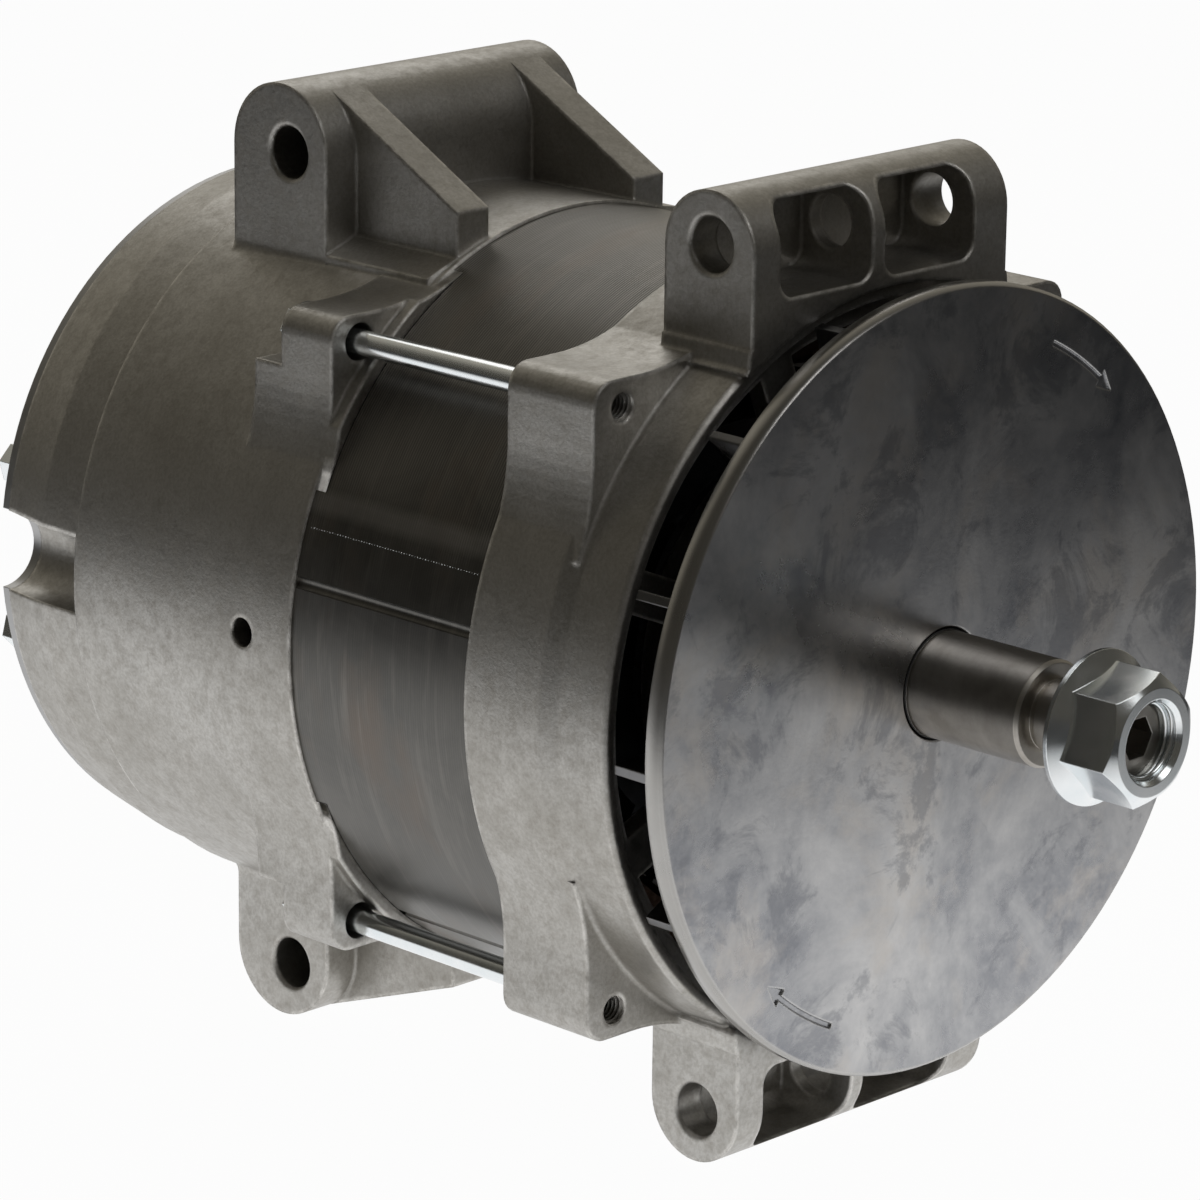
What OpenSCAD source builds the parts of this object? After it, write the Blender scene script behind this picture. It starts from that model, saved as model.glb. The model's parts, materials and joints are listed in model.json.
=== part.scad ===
// Heavy-duty engine alternator with four mounting lugs, in millimetres.
// The shaft lies along Y with the drive end at -Y, and Y = 0 is the front face of the fan.
// The lug bores run along X, and Z points up.

/* [Fan] */
// How far the fan disk stands out over the rim
fan_over = 1.9; // [1:0.1:3]
// Thickness of the fan disk
fan_t = 4.6; // [3:0.1:7]
// Number of radial blades on the back of the disk
blade_count = 14; // [8:1:18]
// Thickness of one blade
blade_t = 2; // [1.5:0.1:4]
// Distance from the disk's edge in to the blade tips
blade_in = 3.7; // [3:0.1:12]
// Diameter of the circle where the blades begin
blade_root_d = 84; // [60:1:100]
// Gap between the blades and the rim
blade_gap = 1; // [0.6:0.1:4]
// Diameter of the fan hub
fan_hub_d = 38; // [30:1:44]
// Gap between the fan hub and the front wall
hub_gap = 2; // [1:0.1:4]

/* [Front housing] */
// Gap between the fan disk and the housing's rim
rim_gap = 12.4; // [12:0.1:16]
// Step from the front housing in to its rim
rim_step = 1.8; // [1:0.1:2.4]
// Distance from the rim to the front face of the bolt ears
rim_l = 13.5; // [10:0.5:16]
// Length of the bolt ears of the front housing
front_ear_l = 23.7; // [20:0.1:30]
// Step from the stator out to the front housing
case_over = 0.2; // [0.1:0.1:0.6]
// Wall thickness of both drums
case_wall = 5; // [4:0.5:6]
// Depth of the recess in front of the front wall
front_recess = 5; // [5:0.5:8]
// Thickness of the front wall
front_wall = 5; // [4:0.5:7]
// Number of air windows in each end wall
window_count = 8; // [6:1:10]
// Width of the spokes between the windows
spoke_w = 9; // [6:0.5:14]
// Diameter of the front bearing hub
front_hub_d = 88; // [84:1:96]

/* [Bolt ears] */
// Distance from the bolts' middle out to the ears' sides
ear_side = 7.8; // [5.4:0.1:9]
// Distance from the bolts' middle to the ears' top and bottom
ear_top = 5.8; // [5:0.1:8]
// Corner radius of the ears
ear_corner = 5; // [3:0.5:6]
// Radius of the blend between an ear and the drum
ear_blend = 50; // [30:5:60]
// Distance from the stator out to the bolts' middle
bolt_out = 6.6; // [6:0.1:7.5]
// Diameter of the through bolts
bolt_d = 5.3; // [5:0.1:5.8]
// Diameter of the bolts' threaded end
bolt_thread_d = 5.94; // [5.9:0.01:5.98]
// Diameter of the tapped holes in the front ears
tap_d = 6; // [6:0.02:6.2]
// Diameter of the clearance holes in the rear ears
clear_d = 8; // [7:0.1:8.4]
// Length of the threads that each bolt engages
bolt_grip = 18; // [12:1:22]
// Width across flats of the bolt heads
bolt_af = 8; // [7:0.5:9]
// Height of the bolt heads without their washer
bolt_head_l = 3; // [2:0.5:5]
// Diameter of the washer under a bolt head
bolt_washer_d = 11.6; // [11:0.1:11.8]
// Thickness of that washer
bolt_washer_t = 1; // [0.6:0.1:1.6]

/* [Stator] */
// Outside diameter of the laminated core
stator_d = 162.8; // [161:0.1:163]
// Thickness of the core behind its slots
yoke_t = 9.9; // [9:0.1:11]
// Length of the laminated core
stator_l = 51; // [45:1:60]
// Number of winding slots
slot_count = 36; // [24:6:48]
// Width of a slot
slot_w = 5; // [4:0.1:5.4]
// Depth of the closed part of a slot
slot_depth = 14; // [12:0.5:16]
// Depth of the pole shoe in front of a slot
shoe_t = 2; // [1.5:0.1:3]
// Width of the gap between two shoes
shoe_gap = 2.4; // [2:0.1:3]
// Radius of the weld grooves along the core
weld_r = 1.45; // [1:0.05:2]
// Distance from the core's surface out to a groove's middle
weld_out = 0.65; // [0.3:0.05:0.8]
// Turn of the first weld groove
weld_turn = 169.4; // [165:0.1:175]
// Number of weld grooves
weld_count = 6; // [4:1:8]
// Overhang of the winding at each end
winding_overhang = 10.7; // [8:0.1:11]
// Clearance between the winding and its core
winding_gap = 0.3; // [0.2:0.1:0.5]

/* [Rear housing] */
// Length of the rear ears, up to the bolt heads
rear_ear_l = 15; // [12:0.5:18]
// Length of the side belt behind the bolt heads
belt_l = 8; // [4:0.5:12]
// Gap between the side belt and the bolts' washers
belt_gap = 0.4; // [0.2:0.1:6]
// Length of the drum in front of the tapered skirt
drum_l = 69; // [66:0.5:80]
// Step from the stator out to the rear drum
drum_over = 0.6; // [0.3:0.1:0.8]
// How much the drum's radius falls towards its rear end
drum_taper = 1.2; // [0:0.1:1.4]
// Step from the drum in to the skirt, at the drum's sharp edge
skirt_step = 1.4; // [0.8:0.1:2]
// How much the skirt's radius falls to its crease
crease_in = 0.2; // [0.1:0.1:1]
// Distance from the drum to the crease
crease_l = 13; // [10:0.5:16]
// How much the skirt's radius falls from the crease to the rear edge
skirt_in = 2.4; // [1.4:0.1:3]
// Distance from the crease to the rear edge
skirt_l = 14; // [10:0.5:18]
// Distance from the stator to the rear wall
rear_wall_at = 23; // [20:0.5:26]
// Thickness of the rear wall
rear_wall = 5; // [4:0.5:7]
// Diameter of the rear bearing hub
rear_hub_d = 62; // [58:1:66]
// Radius of the cable groove in the skirt's side
groove_r = 8.8; // [7:0.1:9.5]
// Distance from the drum's surface in to the groove's centre
groove_in = 6; // [4:0.5:7]
// Height of the groove and of the drain hole above the shaft's axis
groove_z = 1.5; // [-2:0.5:3]
// Diameter of the drain hole in the drum's side
drain_d = 6.3; // [5:0.1:7]
// Distance from the stator to the drain hole
drain_at = 14.4; // [12:0.1:18]
// Length of the lip that the rear ears hold round the stator
lip_l = 3; // [2:0.5:4]
// Thickness of that lip
lip_t = 2.6; // [1.6:0.1:2.6]

/* [Mounting lugs] */
// Mean height of the bores above the drum
bore_out = 8; // [7:0.1:10]
// How much higher than that mean the upper bores lie, and how much lower the lower ones
bore_rise = 2; // [0:0.5:3]
// Distance from the stator back to the rear bores
rear_bore_at = 43.6; // [40:0.1:46]
// Distance from the rim to the front bores
bore_at = 9.6; // [9:0.1:11]
// Diameter of the mounting bores
bore_d = 11.2; // [10:0.1:12.5]
// Chamfer at the mouths of the bores
bore_chamfer = 0.6; // [0.3:0.1:1]
// Length of a lug along its bore
lug_l = 75; // [68:1:80]
// Sideways place of the lugs' middle
lug_mid = -4.5; // [-6:0.5:0]
// Outer radius of the front lugs
front_lug_r = 12; // [11:0.1:12.5]
// Outer radius of the rear lugs
rear_lug_r = 14.3; // [13:0.1:15]
// Distance from a rear bore back to its lug's middle
rear_lug_shift = 2.7; // [0:0.1:4]
// Distance from a front bore back to its lug's middle
front_lug_shift = 0.4; // [0:0.1:1]
// Distance from a bore in to the centre of its lug's round end
lug_drop = 1; // [0:0.1:2]
// How much higher than its bore's share the round end of a rear lug lies
rear_lug_rise = 1.2; // [0:0.1:1.6]
// Thickness of the near end wall of the front lugs' pockets
pocket_wall = 7.6; // [6:0.1:9]
// Thickness of their far end wall
pocket_far_wall = 10; // [7:0.5:12]
// Thickness of the web between the pockets
pocket_web = 3.4; // [3:0.1:8]
// Depth of the pockets
pocket_depth = 19.5; // [16:0.5:20]
// Wall between a pocket and the round end of its lug
pocket_roof = 2.4; // [2:0.1:5]
// Wall between the pockets' upper back edge and the round end of their lug
pocket_skin = 1.6; // [1.2:0.1:3]
// Distance from a bore's middle in to the pockets' floor
pocket_floor = 10.2; // [8:0.1:11]
// Corner radius of the pockets
pocket_r = 4; // [2:0.5:6]
// Thickness of the gusset ribs
rib_t = 9; // [7:0.5:11]
// Distance between the two ribs of a rear lug
rib_pitch = 52; // [44:1:56]
// Sideways place of the ribs' middle
rib_mid = -3; // [-6:0.5:0]
// Height of the flat pad's edge beside a rib's foot
pad_h = 1.4; // [0.6:0.1:2.4]
// Height of the ledge at a front lug's foot
ledge_h = 3; // [2:0.1:4]
// How far that ledge stands out from the lug's end
ledge_t = 0.5; // [0.3:0.1:1]
// Height of a rib's front end above the drum
rib_end_h = 2.6; // [1.5:0.1:4]
// Radius of the blend at a lug's foot
foot_r = 4; // [3:0.5:8]

/* [Shaft and pulley nut] */
// Diameter of the straight pulley seat
seat_d = 22.22; // [20:0.01:23]
// Length of the pulley seat in front of the fan
seat_l = 29; // [24:0.5:34]
// Step from the pulley seat out to the fan's seat
fan_seat_over = 0.14; // [0.05:0.01:1]
// Diameter of the nut's thread
thread_d = 15.88; // [15:0.02:18]
// Length of the threaded end
thread_l = 20; // [18:0.2:24]
// Depth of the neck between seat and thread
neck_in = 0.74; // [0.5:0.02:1.2]
// Length of that neck
neck_l = 1.6; // [1.2:0.1:3]
// Width across flats of the socket in the shaft's end
socket_af = 8; // [6:0.5:9]
// Depth of that socket
socket_depth = 9; // [5:0.5:10]
// Distance from the pulley seat to the nut
nut_at = 10.4; // [8:0.1:14]
// Length of the nut
nut_l = 15.4; // [14:0.1:18]
// Width across flats of the nut
nut_af = 23.8; // [22:0.1:26]
// Diameter of the nut's flange
nut_flange_d = 31.8; // [30:0.1:34]
// Turn of the nut's hexagon
nut_turn = 16; // [0:1:59]
// Slip clearance between pieces that fit one in another
slip = 0.02; // [0.01:0.01:0.05]

/* [Bearings] */
// Bore of the front bearing
front_brg_id = 25; // [24:0.5:26]
// Outside diameter of the front bearing
front_brg_od = 62; // [60:0.5:64]
// Width of the front bearing
front_brg_w = 17; // [15:0.5:18]
// Diameter of its balls
front_ball_d = 11.1; // [10:0.1:11.4]
// Number of its balls
front_ball_count = 8; // [7:1:9]
// Bore of the rear bearing
rear_brg_id = 17; // [16:0.5:18]
// Outside diameter of the rear bearing
rear_brg_od = 47; // [46:0.5:50]
// Width of the rear bearing
rear_brg_w = 14; // [12:0.5:15]
// Diameter of its balls
rear_ball_d = 8.7; // [8:0.1:9]
// Number of its balls
rear_ball_count = 7; // [6:1:8]
// Running clearance between balls and races
race_gap = 0.04; // [0.02:0.01:0.08]
// Thickness of the plate that keeps the front bearing in
retainer_t = 2.5; // [2:0.1:4]
// Diameter of the circle through the retainer's screws
retainer_pcd = 75; // [74:0.5:78]
// Diameter of the retainer's screws
retainer_screw_d = 4.8; // [4:0.1:5.4]

/* [Rotor] */
// Air gap between rotor and stator
air_gap = 0.6; // [0.4:0.1:1]
// Distance from the core's ends in to the claw poles
pole_inset = 3; // [1:0.5:5]
// Thickness of one claw pole's disk
pole_disk_t = 13; // [11:0.5:15]
// Number of claws on each pole
claw_count = 6; // [4:1:8]
// Width of a claw at its root
claw_root_w = 18; // [15:0.5:19]
// Width of a claw at its tip
claw_tip_w = 8; // [5:0.5:9]
// Diameter of the claw poles' shaft seat
pole_seat_d = 28; // [26:0.5:30]
// Distance from the coil's edge in to the rotor's iron core
coil_depth = 18; // [15:0.5:20]
// Depth of the claws over the field coil
claw_t = 12.9; // [11:0.1:16]
// Diameter of the slip rings
slip_ring_d = 27; // [24:0.5:30]
// Gap between a brush and its slip ring
brush_gap = 0.25; // [0.2:0.05:0.4]
// Width of one slip ring
slip_ring_w = 6; // [5:0.5:8]

/* [Rear compartment] */
// Distance from the drum's surface in to the rectifier's plates
plate_in = 16; // [14:0.5:18]
// Clearance between the plates and the brush holder
plate_clear = 4.6; // [3:0.1:6]
// Half width of the plates' opening on the cable side
plate_open = 28; // [24:1:34]
// Width of a brush
brush_w = 8; // [6:0.5:10]
// Length of a brush
brush_l = 15; // [12:0.5:18]
// Width of the brush holder
holder_w = 16; // [14:0.5:20]
// Height of the brush holder
holder_h = 20; // [18:0.5:21]
// Gap between the slip rings and the brush holder
holder_gap = 3; // [2:0.5:4]
// Width of the voltage regulator
regulator_w = 44; // [36:1:50]
// Height of the voltage regulator
regulator_h = 36; // [28:1:40]
// Thickness of the voltage regulator
regulator_t = 9; // [7:0.5:12]
// Diameter of the capacitor
capacitor_d = 18; // [14:0.5:20]
// Length of the capacitor
capacitor_l = 26; // [20:1:34]
// Thickness of the rectifier's plates
plate_t = 4; // [3:0.5:5]
// Diameter of the pressed diodes
diode_d = 12.7; // [11:0.1:13]
// Length of a diode's body
diode_l = 9; // [7:0.5:10]
// Width of the rear cover's air slots
vent_w = 6; // [4:0.5:8]
// Distance from the shaft's axis to the air slots
vent_in = 36; // [30:0.5:40]
// Distance from the cover's screws in to the air slots
vent_out = 13.5; // [11:0.5:16]
// Thickness of the rear cover
cover_t = 2.5; // [2:0.1:4]
// Distance from the housing's rear edge in to the cover's edge
cover_in = 0.5; // [0.2:0.1:1.5]
// Distance from the cover's edge in to its screws
screw_in = 4.8; // [4:0.1:6]
// Diameter of the cover's screws
cover_screw_d = 4.8; // [4:0.1:5.4]
// Diameter of the battery stud
stud_d = 8; // [6:0.5:10]
// Length of the battery stud outside its insulator
stud_out = 20; // [14:1:26]
// Diameter of the ground stud
ground_d = 6; // [5:0.5:8]
// Angle of the output stud above the level
stud_turn = 55.7; // [52:0.1:58]
// Angle of the ground stud below the level
ground_turn = 34.3; // [30:0.1:36]

/* [Hidden] */
$fn = 96;

// Radii that follow from the stator
stator_r = stator_d / 2;
stator_bore = stator_r - yoke_t - slot_depth - shoe_t;
case_r = stator_r + case_over;
rim_r = case_r - rim_step;
fan_r = rim_r + fan_over;
blade_tip = fan_r - blade_in;
fan_seat = seat_d / 2 + fan_seat_over;
drum_r = stator_r + drum_over;
drum_end_r = drum_r - drum_taper;
skirt_front_r = drum_end_r - skirt_step;
crease_r = skirt_front_r - crease_in;
skirt_r = crease_r - skirt_in;
groove_x = drum_r - groove_in;
cover_r = skirt_r - cover_in;
cover_screw_r = cover_r - screw_in;

// Stations along the shaft
rim_y = fan_t + rim_gap;
ear_y = rim_y + rim_l;
core_y = ear_y + front_ear_l;
core_end = core_y + stator_l;
seat_y = core_end + rear_ear_l;
belt_y = seat_y + belt_l;
drum_y = core_end + drum_l;
crease_y = drum_y + crease_l;
rear_y = crease_y + skirt_l;
front_wall_y = rim_y + front_recess;
front_wall_end = front_wall_y + front_wall;
rear_wall_y = core_end + rear_wall_at;
rear_wall_end = rear_wall_y + rear_wall;

// Bolts and lugs
bolt_xz = (stator_r + bolt_out) / sqrt(2);
ear_x = bolt_xz + ear_side;
ear_z = bolt_xz + ear_top;
belt_z = bolt_xz - bolt_washer_d / 2 - belt_gap;
front_bore_y = rim_y + bore_at;
front_lug_y = front_bore_y + front_lug_shift;
rear_bore_y = core_end + rear_bore_at;
rear_lug_y = rear_bore_y + rear_lug_shift;
lug_near = lug_mid - lug_l / 2;
lug_far = lug_mid + lug_l / 2;

// Front bearing, its hub and the fan in front of it
fan_end = front_wall_y - hub_gap;
front_brg_y = front_wall_y + 3;
front_brg_end = front_brg_y + front_brg_w;
front_hub_bore = fan_hub_d / 2 - 1;
retainer_end = front_brg_end + retainer_t;

// Rear bearing and slip rings
rear_brg_y = rear_wall_y;
rear_brg_end = rear_brg_y + rear_brg_w;
rear_hub_end = rear_brg_end + 3;
ring_y = rear_hub_end + 4;
ring_gap = 4;
ring_end = ring_y + 2 * slip_ring_w + ring_gap;
hub_end = ring_end + 2;

// Rotor
rotor_r = stator_bore - air_gap;
field_coil_r = rotor_r - claw_t;
rotor_core_r = field_coil_r - coil_depth;
pole_y = core_y + pole_inset;
pole_end = core_end - pole_inset;
pole_stack_l = pole_end - pole_y;
coil_y = pole_y + pole_disk_t;
coil_end = pole_end - pole_disk_t;

// Rear compartment
negative_y = rear_wall_end + 14;
negative_end = negative_y + plate_t;
positive_y = negative_end + 10;
positive_end = positive_y + plate_t;
cover_end = rear_y + cover_t;
cover_screw_angles = [15, 90, 165, 195, 270, 345];
rectifier_boss_angles = [22.5, 112.5, 292.5];
diode_angles = [0, 38, 74, 94, 318, 340];
holder_low = slip_ring_d / 2 + holder_gap;
plate_inner = norm([holder_w / 2, holder_low + holder_h]) + plate_clear;
plate_outer = drum_r - plate_in;
rectifier_r = (plate_inner + plate_outer) / 2;
stud_shank = stud_d + 1;
stud_x = rectifier_r * cos(stud_turn);
stud_z = rectifier_r * sin(stud_turn);
ground_x = rectifier_r * cos(ground_turn);
ground_z = -rectifier_r * sin(ground_turn);

// Draws children, given in X and Z, from one station along the shaft to another
module along_y(from, to) {
    translate([0, to, 0]) rotate([90, 0, 0]) linear_extrude(to - from) children();
}

// Draws children, given in Y and Z, from one sideways place to another
module along_x(from, to) {
    translate([from, 0, 0]) rotate([90, 0, 90]) linear_extrude(to - from) children();
}

// Turns children, given in radius and Y, about the shaft
module turned() {
    rotate([-90, 0, 0]) rotate_extrude() children();
}

// A rod along the shaft's direction
module rod(r, from, to, x = 0, z = 0) {
    translate([x, from, z]) rotate([-90, 0, 0]) cylinder(r = r, h = to - from);
}

// A tube along the shaft's direction
module tube(outer, inner, from, to) {
    difference() {
        rod(outer, from, to);
        rod(inner, from - 1, to + 1);
    }
}

// Points of an arc
function arc(cx, cy, r, a0, a1, n) =
    [for (i = [0 : n]) let (a = a0 + (a1 - a0) * i / n) [cx + r * cos(a), cy + r * sin(a)]];

// Blend between the upright wall x = h and a drum of radius R
function wall_blend(h, R, r) =
    let (z = sqrt(pow(R + r, 2) - pow(h + r, 2)), a = atan2(z, h + r))
    arc(h + r, z, r, 180 + a, 180, 8);

// One bolt ear in the first quarter, with its blends into a drum
module ear_quarter(drum_r) {
    inner = drum_r - 0.5;
    side = wall_blend(ear_x, inner, ear_blend);
    top = [for (p = wall_blend(ear_z, inner, ear_blend)) [p[1], p[0]]];
    corner = arc(ear_x - ear_corner, ear_z - ear_corner, ear_corner, 0, 90, 6);
    polygon(concat(side, corner, [for (i = [len(top) - 1 : -1 : 0]) top[i]], [[inner / 2, inner / 2]]));
}

module ears(from, to, drum_r) {
    for (sx = [0, 1], sz = [0, 1])
        mirror([sx, 0, 0]) mirror([0, 0, sz]) along_y(from, to) ear_quarter(drum_r);
}

// Upper and lower lugs, whose bores lie at different heights, drawn with the bore's height
module both_lugs() {
    for (s = [0, 1]) mirror([0, 0, s]) {
        $side = 1 - 2 * s;
        $bore_z = drum_r + bore_out + $side * bore_rise;
        children();
    }
}

module at_bolts() {
    for (sx = [1, -1], sz = [1, -1])
        translate([sx * bolt_xz, 0, sz * bolt_xz]) children();
}

// Height of a drum's surface at a sideways place
function on_drum(drum, x) = sqrt(pow(drum, 2) - pow(x, 2));

// Solid lug above a drum, with a blend at each end of its foot
module lug(y, r, drum, rise) {
    z = $bore_z - lug_drop + $side * rise;
    low = on_drum(drum, max(-lug_near, lug_far)) - case_wall;
    along_x(lug_near, lug_far) {
        translate([y, z]) circle(r);
        translate([y - r, low]) square([2 * r, z - low]);
    }
    foot(y, r, drum, lug_far);
    mirror([1, 0, 0]) foot(y, r, drum, -lug_near);
}

// Ledge where a front lug's machined end gives way to the cast drum
module ledge(wall) {
    high = on_drum(case_r, wall) + ledge_h;
    along_y(front_lug_y - front_lug_r, front_lug_y + front_lug_r)
        polygon([[wall - 4, high], [wall + ledge_t - 0.3, high], [wall + ledge_t, high - 0.3],
            [wall + ledge_t + 0.4, high - ledge_h - 1], [wall - 4, high - ledge_h - 4]]);
}

module foot(y, r, drum, wall) {
    blend = wall_blend(wall, drum - 0.4, foot_r);
    top = blend[len(blend) - 1][1];
    along_y(y - r, y + r) polygon(concat(blend, [[wall - 4, top], [wall - 4, blend[0][1] - 6]]));
}

// Gusset ribs in front of a rear lug
module lug_ribs() {
    z = $bore_z - lug_drop + $side * rear_lug_rise;
    low = drum_r - 12;
    apex = [rear_lug_y + rear_lug_r * cos(116), z + rear_lug_r * sin(116)];
    front = core_end + 1.4;
    for (side = [-1, 1])
        along_x(rib_mid + side * rib_pitch / 2 - rib_t / 2, rib_mid + side * rib_pitch / 2 + rib_t / 2)
            polygon([[front, drum_r + rib_end_h], apex, [rear_lug_y, z], [rear_lug_y, low], [front, low]]);
    rib_pad(rib_mid + rib_pitch / 2 + rib_t / 2, lug_far);
    mirror([1, 0, 0]) rib_pad(-rib_mid + rib_pitch / 2 + rib_t / 2, -lug_near);
}

// Flat pad between a rib's foot and the lug's end
module rib_pad(inner, outer) {
    low = on_drum(drum_r, outer) - case_wall + 1;
    along_y(core_end + 1.4, rear_lug_y)
        polygon([[inner - 1, low], [outer, low], [outer, on_drum(drum_r, outer) + pad_h],
            [inner, on_drum(drum_r, inner) + 0.2], [inner - 1, on_drum(drum_r, inner) + 0.2]]);
}

// Two pockets cast into the front face of a front lug
module lug_pockets() {
    top = $bore_z - lug_drop + front_lug_r - pocket_roof;
    width = (lug_l - pocket_wall - pocket_far_wall - pocket_web) / 2;
    face = front_lug_y - front_lug_r;
    difference() {
        for (from = [lug_near + pocket_wall, lug_far - pocket_far_wall - width])
            along_y(face - 2, face + pocket_depth) pocket_outline(from, width, $bore_z - pocket_floor, top);
        rod(rim_r + 1, face - 3, face + pocket_depth + 1);
        pocket_back();
    }
}

// Metal that follows a front lug's round end behind its pockets
module pocket_back() {
    z = $bore_z - lug_drop;
    difference() {
        along_x(lug_near, lug_far) translate([front_lug_y, z]) square([front_lug_r, front_lug_r]);
        along_x(lug_near - 1, lug_far + 1) translate([front_lug_y, z]) circle(front_lug_r - pocket_skin);
    }
}

module pocket_outline(from, width, low, top) {
    translate([from, low + pocket_r]) square([width, top - low - 2 * pocket_r]);
    translate([from + pocket_r, low]) square([width - 2 * pocket_r, top - low]);
    for (x = [from + pocket_r, from + width - pocket_r], z = [low + pocket_r, top - pocket_r])
        translate([x, z]) circle(pocket_r, $fn = 32);
}

module lug_bore(y) {
    r = bore_d / 2;
    translate([lug_near, y, $bore_z]) rotate([0, 90, 0]) {
        translate([0, 0, -1]) cylinder(r = r, h = lug_l + 2);
        translate([0, 0, -1]) cylinder(r1 = r + bore_chamfer + 1, r2 = r, h = bore_chamfer + 1);
        translate([0, 0, lug_l - bore_chamfer])
            cylinder(r1 = r, r2 = r + bore_chamfer + 1, h = bore_chamfer + 1);
    }
}

// Air windows between the spokes of an end wall
module windows(inner, outer, from, to, turn) {
    difference() {
        tube(outer, inner, from, to);
        for (i = [0 : window_count / 2 - 1])
            rotate([0, turn + i * 360 / window_count, 0])
                translate([-outer - 1, from - 1, -spoke_w / 2]) cube([2 * outer + 2, to - from + 2, spoke_w]);
    }
}

module front_housing() {
    color([0.55, 0.54, 0.52]) difference() {
        union() {
            difference() {
                union() {
                    turned() polygon([[0, rim_y], [rim_r - 0.8, rim_y], [rim_r, rim_y + 0.8],
                        [rim_r + 0.3, ear_y - 1], [case_r, ear_y + 3], [case_r, core_y], [0, core_y]]);
                    ears(ear_y, core_y, case_r);
                    both_lugs() {
                        lug(front_lug_y, front_lug_r, case_r, 0);
                        ledge(lug_far);
                        mirror([1, 0, 0]) ledge(-lug_near);
                    }
                }
                rod(rim_r, rim_y - 9, rim_y);
                rod(rim_r - case_wall + 2, rim_y - 1, front_wall_y);
                rod(case_r - case_wall, front_wall_end, core_y + 1);
                windows(front_hub_d / 2 + 3, case_r - case_wall - 5, front_wall_y - 1,
                    front_wall_end + 1, 22.5);
            }
            rod(front_hub_d / 2, front_wall_y, front_brg_end);
        }
        rod(front_hub_bore, front_wall_y - 1, front_brg_y + 1);
        rod(front_brg_od / 2 + slip, front_brg_y, front_brg_end + 1);
        for (i = [0 : 3]) rotate([0, 45 + 90 * i, 0])
            rod(retainer_screw_d / 2 + slip, front_brg_end - 11, front_brg_end + 1, retainer_pcd / 2);
        at_bolts() rod(tap_d / 2, ear_y - 1, core_y + 1);
        both_lugs() {
            lug_pockets();
            lug_bore(front_bore_y);
        }
    }
}

module rear_housing() {
    color([0.56, 0.55, 0.52]) difference() {
        union() {
            difference() {
                union() {
                    turned() polygon([[0, core_end], [drum_r, core_end], [drum_r, seat_y],
                        [drum_end_r, drum_y], [skirt_front_r, drum_y + 0.4], [crease_r, crease_y], [skirt_r, rear_y], [0, rear_y]]);
                    ears(core_end, seat_y, drum_r);
                    intersection() {
                        ears(seat_y - 1, belt_y, drum_r);
                        translate([-100, seat_y - 1, -belt_z]) cube([200, belt_l + 2, 2 * belt_z]);
                    }
                    both_lugs() {
                        lug(rear_lug_y, rear_lug_r, drum_end_r + drum_taper / 3, rear_lug_rise);
                        lug_ribs();
                    }
                }
                rod(drum_r - case_wall, core_end - 1, rear_wall_y);
                rear_cavity();
                windows(rear_hub_d / 2 + 3, drum_r - case_wall - 9, rear_wall_y - 1, rear_wall_end + 1, 22.5);
            }
            stator_lip();
            rod(rear_hub_d / 2, rear_wall_y - 2, rear_hub_end);
            cable_pad();
            cover_bosses();
            rectifier_bosses();
        }
        rod(rear_brg_od / 2 + slip, rear_brg_y - 3, rear_brg_end);
        rod(rear_brg_od / 2 - 4, rear_brg_end - 1, rear_hub_end + 1);
        rod(groove_r, drum_y, rear_y + 1, -groove_x, groove_z);
        at_bolts() rod(clear_d / 2, core_end - 1, seat_y + 1);
        translate([-drum_r - 1, core_end + drain_at, groove_z]) rotate([0, 90, 0])
            cylinder(d = drain_d, h = case_wall + 4);
        for (a = cover_screw_angles) rotate([0, -a, 0])
            rod(cover_screw_d / 2 + slip, rear_y - 12, rear_y + 1, cover_screw_r);
        for (a = rectifier_boss_angles) rotate([0, -a, 0])
            rod(2.5 + slip, rear_wall_end + 2, negative_y + 1, rectifier_r);
        both_lugs() lug_bore(rear_bore_y);
    }
}

// Hollow behind the rear wall, which follows the drum and the skirt
module rear_cavity() {
    w = case_wall;
    turned() polygon([[0, rear_wall_end], [drum_r - w, rear_wall_end], [drum_end_r - w, drum_y - 4],
        [crease_r - w, crease_y], [skirt_r - w, rear_y + 1], [0, rear_y + 1]]);
}

// Raised lip round the stator, inside the outline of the rear ears
module stator_lip() {
    intersection() {
        tube(stator_r + 0.3 + lip_t, stator_r + 0.1, core_end - lip_l, core_end + 1);
        ears(core_end - lip_l - 1, core_end + 1, drum_r);
    }
}

// Thick wall round the cable groove
module cable_pad() {
    intersection() {
        rod(groove_r + case_wall, drum_y - case_wall, rear_y, -groove_x, groove_z);
        rod(skirt_r, drum_y - case_wall, rear_y);
    }
}

module cover_bosses() {
    intersection() {
        for (a = cover_screw_angles) rotate([0, -a, 0]) rod(5.6, drum_y, rear_y, cover_screw_r);
        rod(skirt_r, drum_y, rear_y);
    }
}

module rectifier_bosses() {
    for (a = rectifier_boss_angles) rotate([0, -a, 0])
        rod(6, rear_wall_y, negative_y, rectifier_r);
}

module stator_core() {
    bore = stator_bore;
    color([0.2, 0.2, 0.2]) difference() {
        tube(stator_r, bore, core_y, core_end);
        for (i = [0 : slot_count - 1]) rotate([0, i * 360 / slot_count, 0]) {
            translate([bore + shoe_t, core_y - 1, -slot_w / 2]) cube([slot_depth, stator_l + 2, slot_w]);
            translate([bore - 1, core_y - 1, -shoe_gap / 2]) cube([shoe_t + 2, stator_l + 2, shoe_gap]);
        }
        for (i = [0 : weld_count - 1]) rotate([0, i * 360 / weld_count - weld_turn, 0])
            rod(weld_r, core_y - 1, core_end + 1, stator_r + weld_out);
    }
}

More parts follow.
